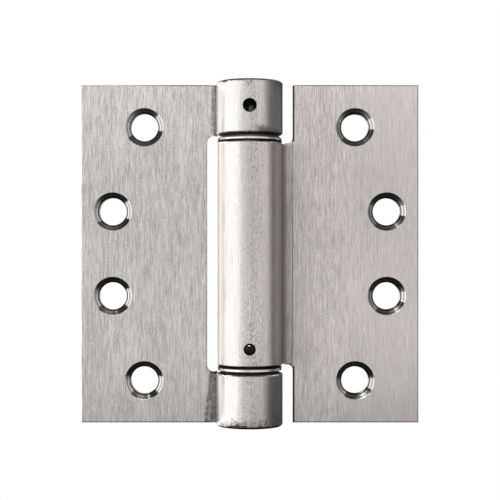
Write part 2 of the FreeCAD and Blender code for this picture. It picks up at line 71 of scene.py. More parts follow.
scene = bpy.context.scene
scene.view_settings.view_transform = "Standard"
print("hinge box in mm:", [round(1000 * x, 1) for x in cad_high - cad_low])

# %% [markdown]
# ## Camera
# The photograph looks straight at the leaves from the middle of the hinge's height. The barrel stands nearer than
# the leaves, so it looks 3% larger, and that tells how far away the lens was. The lens follows from the distance
# and from how many pixels the leaves cover. A slight shift puts the hinge a few pixels below the middle.

# %% Set up the camera
IMAGE, SENSOR = 500, 36  # pixels, millimetres
PIXELS_ACROSS_LEAVES = 337.5
HINGE_CENTRE = (249.7, 253.8)
CAMERA_DISTANCE, LEAF_FACE = 0.385, 0.0008  # metres in front of the pin axis and behind it

pixels_per_metre = PIXELS_ACROSS_LEAVES / (cad_high.x - cad_low.x)
focal_pixels = pixels_per_metre * (CAMERA_DISTANCE + LEAF_FACE)

camera = bpy.data.objects.new("camera", bpy.data.cameras.new("camera"))
scene.collection.objects.link(camera)
camera.location = (0, -CAMERA_DISTANCE, 0)
camera.rotation_euler = (math.radians(90), 0, 0)
camera.data.sensor_width = SENSOR
camera.data.lens = SENSOR * focal_pixels / IMAGE
camera.data.shift_x = (IMAGE / 2 - HINGE_CENTRE[0]) / IMAGE
camera.data.shift_y = (HINGE_CENTRE[1] - IMAGE / 2) / IMAGE
camera.data.clip_start = 0.01
scene.camera = camera
print(f"lens {camera.data.lens:.1f} mm at {CAMERA_DISTANCE * 1000:.0f} mm")

# %% [markdown]
# ## Fields: numbers that vary over a surface
# Every finish below is a network of shader nodes. Wiring such networks one node at a time soon hides what they do,
# so a small class stands for a number that varies over the surface. Adding or multiplying two of them adds the Math
# node that does it, and a finish can be written down as short sums.


# %% A field is a node's output that knows arithmetic
class Field:
    def __init__(self, tree, socket):
        self.tree, self.socket = tree, socket

    def step(self, operation, *others):
        node = self.tree.nodes.new("ShaderNodeMath")
        node.operation = operation
        for socket, value in zip(node.inputs, (self, *others)):
            plug(self.tree, value, socket)
        return Field(self.tree, node.outputs[0])

    def __add__(self, other):
        return self.step("ADD", other)

    def __sub__(self, other):
        return self.step("SUBTRACT", other)

    def __mul__(self, other):
        return self.step("MULTIPLY", other)

    def __or__(self, other):
        """The larger of two, so that masks can be laid over each other."""
        return self.step("MAXIMUM", other)

    def __abs__(self):
        return self.step("ABSOLUTE")

    def rises(self, start, end):
        """0 up to start, 1 from end on, eased between."""
        node = self.tree.nodes.new("ShaderNodeMapRange")
        node.interpolation_type = "SMOOTHSTEP"
        for name, value in (("Value", self), ("From Min", start), ("From Max", end)):
            plug(self.tree, value, node.inputs[name])
        return Field(self.tree, node.outputs["Result"])

    def falls(self, start, end):
        """1 up to start, 0 from end on, eased between."""
        return self.rises(start, end).step("MULTIPLY_ADD", -1.0, 1.0)

    def between(self, low, high, soft):
        """1 from low to high, with edges this soft."""
        return self.rises(low - soft, low + soft) * self.falls(high - soft, high + soft)


def plug(tree, value, socket):
    """Links a field or a node's output to a socket, or sets a plain value there."""
    if isinstance(value, Field):
        value = value.socket
    if isinstance(value, bpy.types.NodeSocket):
        tree.links.new(value, socket)
    else:
        socket.default_value = value


def ramp(field, stops):
    """A grey or colour that goes from stop to stop as the field goes through their places."""
    first, last = stops[0][0], stops[-1][0]
    node = field.tree.nodes.new("ShaderNodeValToRGB")
    plug(field.tree, (field - first).step("DIVIDE", last - first), node.inputs["Fac"])
    elements = node.color_ramp.elements
    while len(elements) < len(stops):
        elements.new(0.5)
    for element, (place, tone) in zip(elements, stops):
        element.position = (place - first) / (last - first)
        element.color = (*tone, 1) if isinstance(tone, tuple) else (tone, tone, tone, 1)
    return node.outputs["Color"]


print("fields ready")

# %% [markdown]
# ## Studio
# Steel is a mirror, blurred by its brushing, so its look is the room around it. The barrel shows that room from left
# to right: a low strip light on the left, a grey wall behind the camera, and a dark right side. The cones of the
# screw holes look sideways, so they show the strip light on one side, and the dark table and ceiling above and
# below. A picture of a room could be wrapped round the scene, but here the room is built of cards, as a
# photographer would. The cards are seen only in reflections, so they never hide the hinge.


# %% A card for shiny metal to reflect
def card(name, corners, axis, stops, scale=1.0, across=None):
    """A flat panel whose brightness goes from stop to stop along one axis, and may also vary across."""
    mesh = bpy.data.meshes.new(name)
    mesh.from_pydata(corners, [], [(0, 1, 2, 3)])
    panel = bpy.data.objects.new(name, mesh)
    scene.collection.objects.link(panel)
    material = bpy.data.materials.new(name)
    material.use_nodes = True
    tree = material.node_tree
    tree.nodes.clear()
    split = tree.nodes.new("ShaderNodeSeparateXYZ")
    tree.links.new(tree.nodes.new("ShaderNodeNewGeometry").outputs["Position"], split.inputs[0])
    glow = tree.nodes.new("ShaderNodeEmission")
    glow.inputs["Strength"].default_value = scale
    tree.links.new(ramp(Field(tree, split.outputs[axis]), stops), glow.inputs["Color"])
    if across:
        share = Field(tree, ramp(Field(tree, split.outputs["X"]), across))
        plug(tree, share * scale, glow.inputs["Strength"])
    tree.links.new(glow.outputs[0], tree.nodes.new("ShaderNodeOutputMaterial").inputs["Surface"])
    mesh.materials.append(material)
    panel.visible_camera = panel.visible_diffuse = panel.visible_shadow = False
    panel.visible_transmission = panel.visible_volume_scatter = False


def wall(name, start, end, low, high, axis, stops, scale=1.0, across=None):
    """A card that stands on a line of the plan, from one height to another."""
    card(name, [(*start, low), (*end, low), (*end, high), (*start, high)], axis, stops, scale, across)


def shelf(name, left, right, front, back, level, axis, stops, scale=1.0):
    """A level card."""
    plan = [(left, front), (right, front), (right, back), (left, back)]
    card(name, [(*corner, level) for corner in plan], axis, stops, scale)


print("card makers ready")

# %% [markdown]
# ## The cards
# The grey wall behind the camera is what the flat leaves show. They are brightest at the top, a little darker half
# way down, brighter again below that, and darkest at the foot, and so is the wall. The wall on the right fades to
# dark, which gives the barrel its shaded side. The small bright card high in front on the left is the face of a
# lamp, which shows as a gloss spot on the black pin. Each list below holds places in metres with the brightness there.

# %% Set the cards round the hinge
LEFT, RIGHT, FRONT, BACK, TOP = -0.25, 0.65, -0.6, 0.6, 0.6
FLOOR = cad_low.z - 0.06
TABLE = FLOOR + 0.002
WALL_LEFT, TABLE_STEP = -0.2, -0.075
STRIP_FRONT, STRIP_LOW, STRIP_HIGH = -0.21, -0.105, 0.105
WALL_LOW = [(-0.2, 0.4), (-0.122, 0.56), (-0.1, 0.66), (-0.086, 0.70), (-0.063, 0.83), (-0.045, 0.81), (-0.02, 0.70)]
WALL_HIGH = [(0, 0.65), (0.05, 0.60), (0.09, 0.62), (0.105, 0.66), (0.13, 0.78), (0.3, 0.6), (TOP, 0.3)]
LEFT_TO_RIGHT = [(-0.2, 0.8), (-0.15, 0.62), (-0.11, 0.53), (0.0, 0.76), (0.12, 1.0), (0.3, 1.0), (RIGHT, 0.92)]
RIGHT_WALL = [(FRONT, 0.88), (-0.3, 0.85), (-0.17, 0.34), (0, 0.13), (0.17, 0.05), (0.44, 0.03), (BACK, 0.03)]
STRIP = [(STRIP_FRONT, 0.71), (0.05, 0.72), (0.3, 1.0), (BACK, 1.0)]
FRONT_TABLE = [(FRONT, 0.7), (-0.3, 0.55), (-0.12, 0.55), (TABLE_STEP, 0.08)]
DARK_TABLE = [(TABLE_STEP, 0.02), (0.1, 0.02), (0.3, 0.4)]
LAMP_LEFT, LAMP_RIGHT = -0.21, 0.07
LAMP_LOW, LAMP_HIGH = (-0.52, 0.32), (-0.4, 0.44)

wall("grey_wall", (WALL_LEFT, FRONT), (RIGHT, FRONT), TABLE, TOP, "Z", WALL_LOW + WALL_HIGH, 1.33, LEFT_TO_RIGHT)
wall("right_wall", (RIGHT, FRONT), (RIGHT, BACK), TABLE, TOP, "Y", RIGHT_WALL)
wall("back_flag", (0.03, BACK), (RIGHT, BACK), TABLE, TOP, "X", [(0.1, 0.03), (RIGHT, 0.05)])
strip_start, strip_end = (LEFT, STRIP_FRONT), (LEFT, BACK)
left_front = [(FRONT, 0.46), (STRIP_FRONT, 0.95)]
wall("left_wall_front", strip_start, (WALL_LEFT, FRONT), TABLE, TOP, "Y", left_front, 1.8)
wall("strip_light", strip_start, strip_end, STRIP_LOW, STRIP_HIGH, "Y", STRIP, 2.4)
wall("flag_over_strip", strip_start, strip_end, STRIP_HIGH, TOP, "Z", [(0.1, 0.05), (TOP, 0.1)])
shelf("ceiling", LEFT, RIGHT, FRONT, BACK, TOP, "Y", [(FRONT, 0.3), (-0.3, 0.1), (BACK, 0.08)])
shelf("front_table", LEFT, RIGHT, FRONT, TABLE_STEP, TABLE, "Y", FRONT_TABLE)
shelf("dark_table", LEFT, RIGHT, TABLE_STEP, 0.3, TABLE, "Y", DARK_TABLE)
lamp_ends = [(LAMP_LEFT, LAMP_LOW), (LAMP_RIGHT, LAMP_LOW), (LAMP_RIGHT, LAMP_HIGH), (LAMP_LEFT, LAMP_HIGH)]
card("lamp_face", [(x, *edge) for x, edge in lamp_ends], "X", [(-1, 1.0), (1, 1.0)], 48.0)

# %% [markdown]
# ## White background, floor and lamp
# The background is plain white where the camera or a mirror looks past the hinge. The world says so with Light Path,
# and lights everything else with a softer grey. One square lamp beside the bright card, high in front on the left,
# lights the matt pieces and casts the shadow. The floor lies a little below the hinge, which hangs by its leaf and
# stands on nothing. Near the hinge it is a pale matt floor that keeps the shadow, and further off it turns into the
# plain white background.


# %% White to the camera, grey to matt surfaces
def seen_directly(tree):
    """1 for rays from the camera, from mirrors and through glass."""
    path = tree.nodes.new("ShaderNodeLightPath")
    names = ("Is Camera Ray", "Is Glossy Ray", "Is Transmission Ray")
    camera_ray, mirror_ray, glass_ray = (Field(tree, path.outputs[name]) for name in names)
    return camera_ray | mirror_ray | glass_ray


def mix_shaders(tree, factor, first, second):
    """The first shader where the factor is 0, the second where it is 1."""
    node = tree.nodes.new("ShaderNodeMixShader")
    for socket, value in zip(node.inputs, (factor, first, second)):
        plug(tree, value, socket)
    return node.outputs[0]


scene.world = bpy.data.worlds.new("white_room")
scene.world.use_nodes = True
sky = scene.world.node_tree
sky.nodes.clear()
lights = []
for grey in (0.5, 1.0):
    background = sky.nodes.new("ShaderNodeBackground")
    background.inputs["Color"].default_value = (grey, grey, grey, 1)
    lights.append(background.outputs[0])
sky_output = sky.nodes.new("ShaderNodeOutputWorld")
sky.links.new(mix_shaders(sky, seen_directly(sky), *lights), sky_output.inputs["Surface"])
print("world made")

# %% Floor and lamp
floor_mesh = bpy.data.meshes.new("floor")
plan = [(-2, -2), (2, -2), (2, 2), (-2, 2)]
floor_mesh.from_pydata([(*corner, FLOOR) for corner in plan], [], [(0, 1, 2, 3)])
floor = bpy.data.objects.new("floor", floor_mesh)
scene.collection.objects.link(floor)

floor_material = bpy.data.materials.new("pale_floor")
floor_material.use_nodes = True
tree = floor_material.node_tree
tree.nodes.clear()
paper = tree.nodes.new("ShaderNodeBsdfDiffuse")
paper.inputs["Color"].default_value = (0.8, 0.8, 0.8, 1)
shine, plain = (tree.nodes.new("ShaderNodeEmission") for _ in range(2))
plug(tree, seen_directly(tree) * 0.42, shine.inputs["Strength"])
plug(tree, seen_directly(tree), plain.inputs["Strength"])
matt = tree.nodes.new("ShaderNodeAddShader")
tree.links.new(paper.outputs[0], matt.inputs[0])
tree.links.new(shine.outputs[0], matt.inputs[1])
split = tree.nodes.new("ShaderNodeSeparateXYZ")
tree.links.new(tree.nodes.new("ShaderNodeNewGeometry").outputs["Position"], split.inputs[0])
across, deep = Field(tree, split.outputs["X"]), Field(tree, split.outputs["Y"])
away = deep.rises(0.05, 0.15) | deep.falls(-0.25, -0.1) | abs(across).rises(0.08, 0.25)
surface = mix_shaders(tree, away, matt.outputs[0], plain.outputs[0])
tree.links.new(surface, tree.nodes.new("ShaderNodeOutputMaterial").inputs["Surface"])
floor_mesh.materials.append(floor_material)

lamp = bpy.data.objects.new("square_lamp", bpy.data.lights.new("square_lamp", "AREA"))
lamp.data.shape = "RECTANGLE"
lamp.data.size, lamp.data.size_y = 0.28, 0.25
lamp.data.energy = 2.0
lamp.location = (-0.07, -0.44, 0.43)
lamp.rotation_euler = (-lamp.location).to_track_quat("-Z", "Y").to_euler()
scene.collection.objects.link(lamp)
print("floor at", round(FLOOR * 1000, 1), "mm, lamp", lamp.data.energy, "W")

# %% [markdown]
# ## A finish
# Each finish starts from the same things: a Principled shader, the place on the hinge in millimetres, and the
# distance from the pin axis. The CAD objects all sit at the origin, so object coordinates are the hinge's own
# frame, and stay with a leaf when it swings.


# %% The start of every finish
class Finish:
    def __init__(self, name, **constants):
        self.material = bpy.data.materials.new(name)
        self.material.use_nodes = True
        self.tree = self.material.node_tree
        self.tree.nodes.clear()
        self.shader = self.tree.nodes.new("ShaderNodeBsdfPrincipled")
        output = self.tree.nodes.new("ShaderNodeOutputMaterial")
        self.tree.links.new(self.shader.outputs[0], output.inputs["Surface"])
        for socket, value in constants.items():
            self.shader.inputs[socket.replace("_", " ")].default_value = value
        place = self.tree.nodes.new("ShaderNodeTexCoord").outputs["Object"]
        self.place = self.vector("SCALE", place, Scale=1000.0)
        split = self.tree.nodes.new("ShaderNodeSeparateXYZ")
        self.tree.links.new(self.place, split.inputs[0])
        self.x, self.y, self.z = (Field(self.tree, socket) for socket in split.outputs)
        self.radius = (self.x * self.x + self.y * self.y).step("SQRT")

    def vector(self, operation, *values, **named):
        node = self.tree.nodes.new("ShaderNodeVectorMath")
        node.operation = operation
        for socket, value in [*enumerate(values), *named.items()]:
            plug(self.tree, value, node.inputs[socket])
        return node.outputs[0]

    def noise(self, across, along, seed=0.0, detail=2.0, place=None):
        """Noise with spots about this many millimetres wide, and this many high."""
        stretch = (1 / across, 1 / across, 1 / along)
        node = self.tree.nodes.new("ShaderNodeTexNoise")
        moved = self.vector("MULTIPLY_ADD", place or self.place, stretch, (seed, seed * 0.7, seed * 1.3))
        self.tree.links.new(moved, node.inputs["Vector"])
        node.inputs["Scale"].default_value = 1.0
        node.inputs["Detail"].default_value = detail
        return Field(self.tree, node.outputs["Fac"])

    def distance(self, x, z):
        """Distance from an axis that runs front to back through this place."""
        side, rise = self.x - x, self.z - z
        return (side * side + rise * rise).step("SQRT")

    def join(self, *values):
        """Three numbers or fields as one place."""
        node = self.tree.nodes.new("ShaderNodeCombineXYZ")
        for socket, value in zip(node.inputs, values):
            plug(self.tree, value, socket)
        return node.outputs[0]

    def turned_place(self):
        """A place that is the same all round the pin axis, for marks left by a lathe."""
        return self.join(self.radius, 0.0, self.z)

    def mix(self, amount, first, second):
        """A colour between two others."""
        node = self.tree.nodes.new("ShaderNodeMix")
        node.data_type = "RGBA"
        for socket, value in zip((node.inputs[0], node.inputs[6], node.inputs[7]), (amount, first, second)):
            plug(self.tree, (*value, 1) if isinstance(value, tuple) else value, socket)
        return node.outputs[2]

    def bump(self, height, depth_mm, strength=1.0):
        """Tilts the light as if the surface stood this much higher where the height is 1."""
        node = self.tree.nodes.new("ShaderNodeBump")
        node.inputs["Strength"].default_value = strength
        node.inputs["Distance"].default_value = depth_mm / 1000
        plug(self.tree, height, node.inputs["Height"])
        self.tree.links.new(node.outputs[0], self.shader.inputs["Normal"])

    def wire(self, **sockets):
        """Feeds fields or colours to the shader's sockets."""
        for name, value in sockets.items():
            plug(self.tree, value, self.shader.inputs[name.replace("_", " ")])

    def spread(self, amount):
        """Spreads reflections sideways, as upright brushing does."""
        self.shader.inputs["Anisotropic"].default_value = amount
        tangent = self.tree.nodes.new("ShaderNodeTangent")
        tangent.direction_type, tangent.axis = "RADIAL", "Z"
        self.tree.links.new(tangent.outputs[0], self.shader.inputs["Tangent"])


def give(finish, *nodes):
    """Puts a finish on CAD nodes in place of their plain material."""
    for node in nodes:
        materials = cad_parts[node].data.materials
        materials.clear()
        materials.append(finish.material)


print("finish class ready")

# %% [markdown]
# ## Brushed stainless leaves
# The sheet was brushed up and down before it was rolled, so its grain is upright everywhere, also round the barrel.
# Scratches in the mesh would be far finer than a pixel. Here noise that is stretched along the height tints the
# steel and changes its roughness, and an anisotropic shader spreads reflections across the grain, which is what the
# scratches do to light. The frame's leaf is mottled, the door's leaf is smoother and a little pinker. The cones of
# the screw holes were cut by a countersink, which leaves fine rings and a slight dish; their dark rings are a
# painted shade, far darker than steel. The left flank of the barrel is painted near white as a painted highlight,
# and so is a narrow crest along its front, which hands and tools have also rubbed bright.


# %% Grain and screw holes
SCREW_HOLES = ((31.75, 38.1), (41.275, 12.7))  # from the pin axis and from the middle of the height, in mm
CONE_RADIUS = 5.8
# CONE_DARK is far darker than steel: the cones' dark rings are a painted shade.
CONE_DARK, CONE_LIGHT = (0.07, 0.066, 0.062), (0.66, 0.64, 0.61)
# Near white for the painted highlight on the barrel's flank and crest, near black for residue and painted shade.
PAINTED_HIGHLIGHT_STEEL, RESIDUE_AND_SHADE = (0.98, 0.97, 0.96), (0.014, 0.011, 0.009)


def leaf_grain(finish, mottle, calm_end):
    """Hairlines, and 0 to 1 for hairlines and fine specks on longer streaks on broad clouds."""
    hairline = finish.noise(0.16, 3.5, seed=3.1)
    fine = finish.noise(0.26, 5.0, seed=21.3, detail=3.0)
    speck = finish.noise(0.3, 0.45, seed=15.0)
    streak = finish.noise(0.5, 14.0, seed=11.7, detail=3.0)
    cloud = finish.noise(7.0, 24.0, seed=5.3)
    grain = (hairline + speck - 1.0) * 1.8 + (fine - 0.5) * 2.3 + (streak - 0.5) * 1.5 + (cloud - 0.5) * mottle
    calm = finish.radius.falls(10.2, 11.5) * 0.6 | finish.x.rises(22, 42) * calm_end
    return hairline, grain * (calm * -1.0 + 1.0) + 0.5


def screw_hole_distance(finish):
    """Distance from the nearest screw hole's axis. The holes mirror left to right and top to bottom."""
    across, up = abs(finish.x), abs(finish.z)
    near = []
    for hole_x, hole_z in SCREW_HOLES:
        side, rise = across - hole_x, up - hole_z
        near.append((side * side + rise * rise).step("SQRT"))
    return near[0].step("MINIMUM", near[1])


def leaf_steel(name, dark, light, mottle, calm_end, shade_and_wear):
    """Brushed steel in two tones, cones in painted shade, painted barrel highlights, the given dirt and shade."""
    finish = Finish(name, Metallic=1.0)
    finish.spread(0.75)
    hairline, grain = leaf_grain(finish, mottle, calm_end)
    steel = finish.mix(grain, dark, light)
    from_axis = screw_hole_distance(finish)
    in_hole = from_axis.falls(5.7, 5.85) * finish.y.falls(3.0, 3.4)
    # Painted shade: rings of near black darken the hollow of each screw hole, over the countersink's real rings.
    rings = finish.noise(0.42, 0.42, place=finish.join(from_axis, 0.0, 0.0)).rises(0.42, 0.58)
    colour = finish.mix(in_hole, steel, finish.mix(rings, CONE_DARK, CONE_LIGHT))
    # Painted highlight: the barrel's left flank, and a crest down its front that hands have also rubbed, are painted
    # near white.
    flank = finish.x.falls(-9.1, -7.4) * finish.y.falls(0, 2)
    crest = abs(finish.x + 0.7).falls(0.4, 1.5) * finish.y.falls(-8, -7) * 0.45
    rubbed = (flank | crest) * finish.radius.falls(10.0, 10.2)
    colour = finish.mix(rubbed, colour, PAINTED_HIGHLIGHT_STEEL)
    # Dirt, wear and painted shade from the given function darken the colour toward near black.
    dirt_and_shade = shade_and_wear(finish)
    colour = finish.mix(dirt_and_shade, colour, RESIDUE_AND_SHADE)
    rough = (hairline * 0.14 + 0.22) * (finish.radius.falls(10.2, 11.5) * -0.25 + 1.0)
    rough = rough - in_hole * (rough - 0.12) + dirt_and_shade * 0.25
    dish = (from_axis * -1.0 + CONE_RADIUS) * in_hole * 0.08
    finish.bump((hairline * in_hole.falls(0.2, 0.8) + rings * in_hole * 0.5) * 0.006 + dish, 1.0)
    finish.wire(Base_Color=colour, Roughness=rough)
    return finish


print("leaf finish ready")

# %% [markdown]
# ## Painted shade and wear on the leaves
# The dark in the joints between the knuckles, along the swage beside them, round the holes, on the cut edges, down
# the barrel's right flank, towards the foot and towards the frame leaf's outer edge is painted shade. Scuffs, a
# smear, stains and worn specks on the barrel are wear. A map of them could be painted by hand, but a mask worked out
# from the place on the hinge needs no picture and shows from every side. Each mask below is a product of limits in
# millimetres along X, Y and Z, and masks are laid over each other by taking the larger.


# %% Where the painted shade and the wear lie
LOCK_HOLE_Z, PIN_HOLE_Z = 43.6, -28.05
KNUCKLE_SHADE = 0.68


def both_leaves_shade(finish):
    """Painted shade in the joints between the knuckles, on the barrel's small holes, its right flank and the foot."""
    height = abs(finish.z)
    ragged = (finish.noise(1.2, 0.5, seed=8.0) - 0.5) * 0.5
    in_barrel = finish.radius.falls(10.0, 10.3)
    # Painted shade in the gaps between the knuckles
    joint = (height + ragged).between(33.15, 35.8, 0.07) * in_barrel
    front = finish.y.falls(0, 2) * in_barrel
    # Painted shade down the barrel's right flank, stronger on the end knuckles
    flank = finish.x.rises(6.6, 9.6) * front * (height.rises(35, 36) * 0.35 + 0.5)
    flank = flank | finish.x.rises(3.0, 6.5) * front * height.rises(35.5, 36.5) * KNUCKLE_SHADE
    # Painted shade on the walls of the lock hole and the pin hole
    holes = finish.distance(0, LOCK_HOLE_Z).falls(2.0, 2.15) | finish.distance(0, PIN_HOLE_Z).falls(1.72, 1.86)
    holes = holes * finish.y.falls(-2.0, -1.0) * in_barrel
    # Painted shade, darker towards the foot of the leaves
    foot = finish.z.falls(-54, -38) * finish.radius.rises(11, 13) * 0.08
    return joint | holes | flank | foot


def fine_specks(finish, seed):
    """Specks finer than a millimetre, where the polish has worn through."""
    return finish.noise(0.3, 0.9, seed=seed, detail=5.0).rises(0.45, 0.62)


def frame_scuffs(finish, speckle):
    """Wear on the end knuckles."""
    front = finish.y.falls(0, 2) * finish.radius.falls(10.2, 10.4)
    # A scuff like a V under the top rim, and the worn rim itself
    notch = (abs(finish.x + 0.3) - (finish.z - 48.7) * 0.65).falls(-0.4, 0.2) * finish.z.rises(48.5, 49.3)
    rim = (finish.z + speckle * 0.9).rises(51.0, 51.5) * (finish.x.falls(-2.5, -1.0) * 0.8 | speckle * 0.7)
    # Grease smeared up from the joint on the right
    smear = (finish.z - speckle).falls(36.3, 38.4) * finish.x.rises(0.0, 3.5) * finish.z.rises(0, 1)
    # A ragged stain that climbs to the right at the foot, and a black line under it
    reach = finish.x.between(-5.5, 1.5, 1.5) * 0.8 + finish.x.rises(1.5, 9.0) * 2.6 - 50.6
    foot = (finish.z - reach - speckle * 2.0).falls(-1.6, 0.8) * finish.z.falls(-44, -40)
    thick = finish.x.between(-6.0, -0.5, 1.0) * 0.5 + speckle * 0.5
    sole = (finish.z - thick).falls(-51.2, -50.6) * finish.x.rises(-8, -6)
    specks = abs(finish.x - 0.3).falls(0.3, 3.8) * fine_specks(finish, 5.0)
    above = notch * (speckle * 0.5 + 0.32) | rim | smear * 0.8
    below = foot * (speckle * 0.3 + 0.4) | sole * 0.92
    return (above | below | specks * 0.42) * front


def frame_shade_and_wear(finish):
    """Painted shade on the frame's leaf along the swage and round the window, and wear on its knuckles."""
    height = abs(finish.z)
    ragged = (finish.noise(0.7, 3.0, seed=2.0, detail=3.0) - 0.5) * 2.2
    speckle = finish.noise(0.9, 1.3, seed=7.0, detail=6.0).rises(0.3, 0.72)
    face = finish.y.falls(1.5, 2.5)
    # Painted shade, speckled, on the step in the sheet beside the top knuckle, and in a wedge beside the bottom one
    upper = (finish.x + ragged * 0.3).between(-11.6, -9.9, 0.35) * finish.z.rises(35.7, 36.3)
    wedge = (finish.x + ragged * 0.5 - (finish.z + 36.0) * 0.11).rises(-12.5, -11.9) * finish.x.falls(-9.9, -9.6)
    lower = wedge * finish.z.falls(-36.2, -35.7)
    swage = (upper * (speckle * 0.35 + 0.45) | lower * (speckle * 0.4 + 0.42)) * face
    # Painted shade on the window's upright edge and its sill
    edge = finish.x.between(-13.15, -12.7, 0.1) * height.falls(35.5, 36.0)
    sill = finish.z.between(-36.3, -35.3, 0.15) * finish.x.between(-12.0, -9.8, 0.3)
    # Painted shade, darker towards the leaf's outer edge
    shade = finish.x.falls(-50, -34) * 0.06
    leaf = swage | edge * 0.25 | sill * 0.85 | shade
    return both_leaves_shade(finish) | leaf | frame_scuffs(finish, speckle)


def door_shade_and_wear(finish):
    """Painted shade on the door's leaf at the swage and the notches' edges, and worn specks down the barrel's front.
    """
    height = abs(finish.z)
    ragged = (finish.noise(0.7, 3.0, seed=4.0, detail=3.0) - 0.5) * 2.0
    # Painted shade in the crease at the barrel, on the step in the sheet, on the line where it starts, and beside it
    crease = finish.x.between(9.4, 10.3, 0.15) * height.falls(33.0, 33.4)
    strip = (finish.x + ragged * 0.25).between(10.2, 12.6, 0.3) * height.falls(32.5, 33.2)
    line = finish.x.between(12.6, 13.1, 0.15) * height.falls(33.0, 33.6)
    shade = finish.x.falls(13.0, 23.0) * finish.x.rises(12.2, 12.8) * height.falls(31, 36)
    # Painted shade on the upright edges of both notches, and on the upper edge of the lower one
    notch = finish.x.between(12.6, 13.5, 0.12) * height.rises(33.2, 34.2) * finish.y.falls(0.9, 1.2)
    ledge = finish.z.between(-33.8, -32.95, 0.1) * finish.x.between(9.6, 12.9, 0.3) * finish.y.falls(3.2, 3.8)
    ends = abs(finish.z - 2.5).rises(12, 30) * 0.4 + 0.6
    worn = ends * abs(finish.x - 0.6).falls(0.5, 5.0) * finish.y.falls(-6, -4)
    leaf = crease * 0.7 | strip * 0.38 | line * 0.6 | shade * 0.22 | notch * 0.97 | ledge * 0.8
    return both_leaves_shade(finish) | leaf | worn * fine_specks(finish, 1.0) * 0.5


frame_steel = leaf_steel("frame_leaf_steel", (0.45, 0.43, 0.415), (0.80, 0.765, 0.74), 0.7, 0.0, frame_shade_and_wear)
door_steel = leaf_steel("door_leaf_steel", (0.455, 0.424, 0.405), (0.78, 0.725, 0.696), 0.6, 0.6, door_shade_and_wear)
give(frame_steel, "frame_leaf")
give(door_steel, "door_leaf")
print("brushed steel on both leaves")

# %% [markdown]
# ## Turned pieces
# The bushes, the plugs and the rod were turned on a lathe, so their marks run round the pin axis. Noise read at the
# radius and the height only, and not at the angle, gives such rings. The bushes are bright, with painted shade in the
# corner at the barrel, on the rough chamfer and at their sides. The adjuster's locking holes are painted dark inside
# as a painted shade, with a painted glint in the one that shows.


# %% Lathe-turned steel
def turned_steel(name, dark, light, dirt_and_shade_of):
    """Steel between two tones with rings round the pin axis, and the dirt and painted shade that a function gives."""
    finish = Finish(name, Metallic=1.0)
    rings = finish.noise(0.12, 0.12, place=finish.turned_place(), detail=3.0)
    stain = finish.noise(1.4, 1.4, seed=6.0, detail=3.0)
    colour = finish.mix((rings - 0.5) * 1.6 + (stain - 0.5) * 0.6 + 0.5, dark, light)
    dirt_and_shade = dirt_and_shade_of(finish)
    finish.bump(rings, 0.02, 0.25)
    # Dirt and painted shade darken the colour.
    colour = finish.mix(dirt_and_shade, colour, (0.010, 0.009, 0.008))
    finish.wire(Base_Color=colour, Roughness=rings * 0.2 + dirt_and_shade * 0.25 + 0.14)
    return finish


def flange_shade(finish):
    """Painted shade above and below the bright band of each bush's flange, and at its sides."""
    speckle = (finish.noise(0.35, 0.3, seed=9.0, detail=3.0) - 0.5) * 0.8
    upper = finish.z.rises(34.3, 34.5) * (speckle * 1.3 + 0.4) | finish.z.falls(33.85, 34.0) * finish.z.rises(30, 31)
    lower = finish.z.rises(-34.15, -34.0) | finish.z.falls(-34.75, -34.65)
    # Painted shade at the flange's sides, where it turns away.
    sides = abs(finish.x).rises(8.3, 9.3) * 0.85
    return upper * finish.z.rises(-1, 1) | lower * finish.z.falls(-1, 1) | sides


def plug_shade_glint_and_scum(finish):
    """Painted shade in the ring of locking holes, a painted glint in the one that shows, and thin scum all over."""
    # Painted shade inside the locking holes
    lock_hole = abs(finish.z - LOCK_HOLE_Z).falls(2.1, 2.3) * finish.radius.falls(6.45, 6.6)
    scum = finish.noise(1.8, 1.8, seed=1.0, detail=3.0).rises(0.5, 0.7) * 0.5
    # Painted glint: the shade is lifted on a speckled spot in the hole that shows
    glint = finish.distance(0.5, 43.2).falls(0.2, 1.4) * finish.noise(0.4, 0.4, seed=3.0).rises(0.35, 0.6)
    return lock_hole * (glint * -0.5 + 0.98) | scum


bush_steel = turned_steel("bush_steel", (0.55, 0.54, 0.52), (0.88, 0.87, 0.85), flange_shade)
plug_steel = turned_steel("plug_steel", (0.28, 0.27, 0.26), (0.58, 0.57, 0.55), plug_shade_glint_and_scum)
give(bush_steel, "upper_bush", "lower_bush")
give(plug_steel, "tension_adjuster", "spring_mandrel", "spring_anchor", "pivot_stud")
print("turned steel on bushes and plugs")

# %% [markdown]
# ## Blackened washers
# The thrust washers carry the weight of the door. They are blackened, and rough with dried grease, so they take a
# plain non-metal shader with speckles in its colour, roughness and bump.

# %% Washers
washer_black = Finish("washer_black", Specular_IOR_Level=0.15)
speckle = washer_black.noise(0.3, 0.2, detail=4.0)
rubbed = washer_black.noise(2.5, 0.5, seed=3.0).rises(0.52, 0.7)
grease = speckle.rises(0.45, 0.75) * 0.6 | rubbed * 0.4
washer_black.wire(
    Base_Color=washer_black.mix(grease, (0.004, 0.0035, 0.003), (0.08, 0.07, 0.06)),
    Roughness=speckle * 0.4 + 0.3,
)
washer_black.bump(speckle, 0.05, 0.5)
give(washer_black, "upper_thrust_washer", "lower_thrust_washer")
print("washers blackened")

# %% [markdown]
# ## Black domed pin
# A short pin with a polished dome is driven through the barrel into the spring's anchor. The CAD pin has a flat
# faceted end, and a gloss spot would show that. So a new pin is turned from a smooth profile with bmesh.spin, in
# the same place and of the same size, and replaces it.


